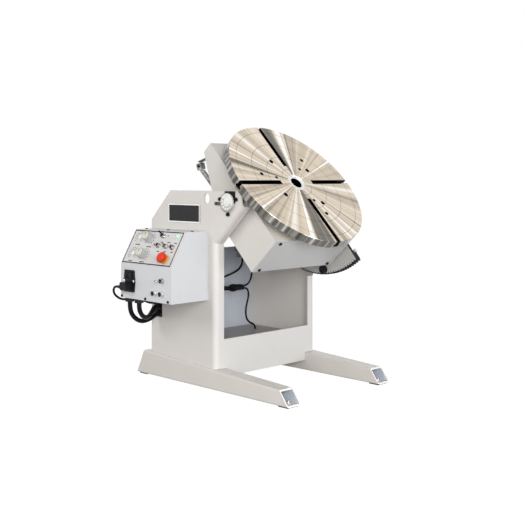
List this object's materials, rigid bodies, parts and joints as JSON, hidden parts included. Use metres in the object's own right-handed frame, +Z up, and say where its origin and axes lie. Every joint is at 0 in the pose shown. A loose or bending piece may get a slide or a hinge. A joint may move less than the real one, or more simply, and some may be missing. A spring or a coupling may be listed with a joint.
{
  "type": "welding positioner",
  "caption": "Floor-standing welding positioner: slotted round faceplate on a geared tilting head, carried by a bent-sheet stand with a side control console and two box-section legs.",
  "frame": {"origin": "bottom centre of the bounding box at rest, on the floor, without the leads", "axes": "+X to the front, where the table faces; +Y to the gear side, away from the console; +Z up"},
  "size_m": [0.597, 0.57, 0.7119],
  "materials": {
    "black_plastic": "matt black moulding",
    "black_screw": "black oxide",
    "body_white": "warm off-white powder coat, satin",
    "bright_steel": "machined steel",
    "chrome": "bright plated",
    "console_white": "white powder coat, satin",
    "front_white": "cool white powder coat, satin",
    "gear_steel": "blackened, greased gear steel",
    "grey_plastic": "grey moulded knob",
    "lamp_green": "translucent pale green lens",
    "motor_grey": "grey enamel",
    "plate_dark": "bare dark plate with a pale rim",
    "red_plastic": "glossy red",
    "rubber": "matt black rubber",
    "scale_white": "satin scale disc",
    "turned_steel": "face-turned bright steel",
    "yellow_plastic": "glossy yellow"
  },
  "bodies": {
    "stand": {"left_side_panel": "body_white", "right_side_panel": "body_white", "front_panel": "front_white", "rear_panel": "body_white", "floor_shelf": "body_white", "left_leg": "body_white", "right_leg": "body_white", "foot_pads": "rubber", "tilt_bearings": "bright_steel", "bearing_screws": "black_screw", "scale_pointer": "scale_white", "scale_back_plate": "black_plastic", "name_plate": "plate_dark", "tilt_gearbox": "motor_grey", "tilt_motor": "motor_grey", "tilt_drive_bracket": "bright_steel", "console_shell": "console_white", "control_panel": "console_white", "console_screws": "black_screw", "stop_collar": "yellow_plastic", "signal_lamp": "lamp_green", "toggle_bodies": "chrome", "inlet_module": "black_plastic", "inlet_plug": "black_plastic", "round_connectors": "chrome", "cable_glands": "black_plastic", "cable_entry": "rubber", "lead_connectors": "black_plastic", "conduit_a": "rubber", "conduit_b": "rubber", "mains_lead": "rubber", "upper_lead": "rubber", "lead_up": "rubber", "lead_down": "rubber"},
    "tilt_head": {"tilt_box": "body_white", "front_cover": "front_white", "cover_screws": "black_screw", "tilt_shafts": "bright_steel", "sector_gear": "gear_steel", "sector_screws": "chrome", "stop_bumper": "rubber", "tilt_scale": "scale_white", "spindle_housing": "bright_steel", "rotation_gearmotor": "motor_grey", "brush_holder": "black_plastic", "brush_arm": "bright_steel"},
    "table": {"faceplate": "turned_steel", "spindle": "bright_steel", "spindle_gear": "gear_steel"},
    "tilt_pinion": {"tilt_pinion": "gear_steel"},
    "rotation_pinion": {"rotation_pinion": "gear_steel"},
    "upper_knob": {"upper_knob": "grey_plastic"},
    "lower_knob": {"lower_knob": "grey_plastic"},
    "stop_button": {"stop_button": "red_plastic"},
    "toggle_lever_1": {"toggle_lever_1": "chrome"},
    "toggle_lever_2": {"toggle_lever_2": "chrome"},
    "toggle_lever_3": {"toggle_lever_3": "chrome"},
    "small_toggle_lever": {"small_toggle_lever": "black_plastic"},
    "front_toggle_lever": {"front_toggle_lever": "chrome"},
    "mains_rocker": {"mains_rocker": "black_plastic"}
  },
  "joints": [
    {"name": "tilt", "type": "hinge", "parent": "stand", "child": "tilt_head", "pos_m": [0.0795, 0.06892, 0.504], "axis": [0, 1, 0], "range_deg": [-46.4, 43.6]},
    {"name": "table_spin", "type": "hinge", "parent": "tilt_head", "child": "table", "pos_m": [0.14092, 0.06892, 0.55696], "axis": [0.7242, 0, 0.6896], "continuous": true},
    {"name": "tilt_pinion_turn", "type": "hinge", "parent": "stand", "child": "tilt_pinion", "pos_m": [-0.12848, 0.24292, 0.38393], "axis": [0, 1, 0], "range_deg": [-400, 400]},
    {"name": "rotation_pinion_turn", "type": "hinge", "parent": "tilt_head", "child": "rotation_pinion", "pos_m": [0.11836, 0.06892, 0.41099], "axis": [0.7242, 0, 0.6896], "continuous": true},
    {"name": "upper_knob_turn", "type": "hinge", "parent": "stand", "child": "upper_knob", "pos_m": [-0.1345, -0.22058, 0.40292], "axis": [0, -0.866, 0.5], "range_deg": [-150, 150]},
    {"name": "lower_knob_turn", "type": "hinge", "parent": "stand", "child": "lower_knob", "pos_m": [-0.1305, -0.24558, 0.35962], "axis": [0, -0.866, 0.5], "range_deg": [-150, 150]},
    {"name": "stop_press", "type": "slide", "parent": "stand", "child": "stop_button", "axis": [0, 0.866, -0.5], "range_m": [0, 0.004], "stiffness_N_per_m": 4000},
    {"name": "toggle_lever_1_flip", "type": "hinge", "parent": "stand", "child": "toggle_lever_1", "pos_m": [-0.0865, -0.23058, 0.3856], "axis": [1, 0, 0], "range_deg": [-26, 0]},
    {"name": "toggle_lever_2_flip", "type": "hinge", "parent": "stand", "child": "toggle_lever_2", "pos_m": [-0.0565, -0.23108, 0.38473], "axis": [1, 0, 0], "range_deg": [0, 26]},
    {"name": "toggle_lever_3_flip", "type": "hinge", "parent": "stand", "child": "toggle_lever_3", "pos_m": [-0.028, -0.23158, 0.38386], "axis": [1, 0, 0], "range_deg": [-26, 0]},
    {"name": "small_toggle_lever_flip", "type": "hinge", "parent": "stand", "child": "small_toggle_lever", "pos_m": [-0.0835, -0.21608, 0.41071], "axis": [1, 0, 0], "range_deg": [0, 26]},
    {"name": "front_toggle_lever_flip", "type": "hinge", "parent": "stand", "child": "front_toggle_lever", "pos_m": [-0.0375, -0.26008, 0.298], "axis": [0, 0, 1], "range_deg": [0, 26]},
    {"name": "mains_rocker_tip", "type": "hinge", "parent": "stand", "child": "mains_rocker", "pos_m": [-0.1755, -0.26058, 0.303], "axis": [1, 0, 0], "range_deg": [-16, 0]}
  ],
  "couplings": [
    {"joint": "tilt_pinion_turn", "follows": "tilt", "ratio": -7.8889},
    {"joint": "rotation_pinion_turn", "follows": "table_spin", "ratio": -3.5}
  ]
}
